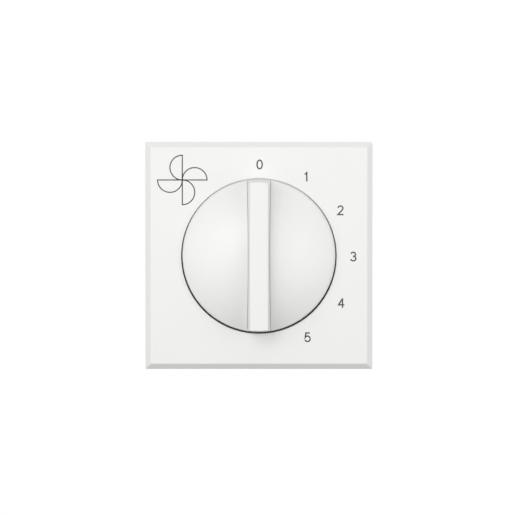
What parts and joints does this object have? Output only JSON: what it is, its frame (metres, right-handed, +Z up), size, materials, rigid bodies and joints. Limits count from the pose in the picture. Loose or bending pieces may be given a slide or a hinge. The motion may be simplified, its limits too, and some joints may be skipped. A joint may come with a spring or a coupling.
{
  "type": "rotary switch",
  "caption": "Square snap-in wall module with a round domed knob and finger bar that turns through detents to choose a fan's off position or speed.",
  "frame": {"origin": "centre of the square where the rim of the face plate bears on the support frame", "axes": "+X to the right and +Z up as seen from the front, +Y into the wall along the spindle"},
  "size_m": [0.045, 0.0458, 0.045],
  "materials": {
    "white_moulding": "fine satin gloss",
    "grey_moulding": "matt",
    "black_moulding": "matt",
    "laminate": "matt",
    "plated_steel": "zinc plated",
    "spring_steel": "plain",
    "die_casting": "as cast",
    "brass": "stamped",
    "contact_bronze": "stamped"
  },
  "bodies": {
    "body": {"face_plate": "white_moulding", "bush_nut": "plated_steel", "tooth_washer": "spring_steel", "index_bush": "die_casting", "index_spring": "spring_steel", "index_cover": "plated_steel", "spacers": "brass", "contact_plate": "laminate", "common_contact": "brass", "stack_screws": "plated_steel", "terminal_cages": "brass", "terminal_screws": "plated_steel", "housing": "grey_moulding", "rear_cover": "grey_moulding", "cover_screws": "plated_steel", "step_contact_1": "brass", "step_contact_2": "brass", "step_contact_3": "brass", "step_contact_4": "brass", "step_contact_5": "brass"},
    "turning": {"knob": "white_moulding", "knob_clip": "spring_steel", "spindle": "plated_steel", "spindle_ring": "spring_steel", "index_star": "black_moulding", "rotor": "black_moulding", "wiper": "contact_bronze"}
  },
  "joints": [
    {"name": "knob_turn", "type": "hinge", "parent": "body", "child": "turning", "pos_m": [0, 0, 0], "axis": [0, 1, 0], "range_deg": [0, 150], "deforming": ["index_spring"]}
  ]
}
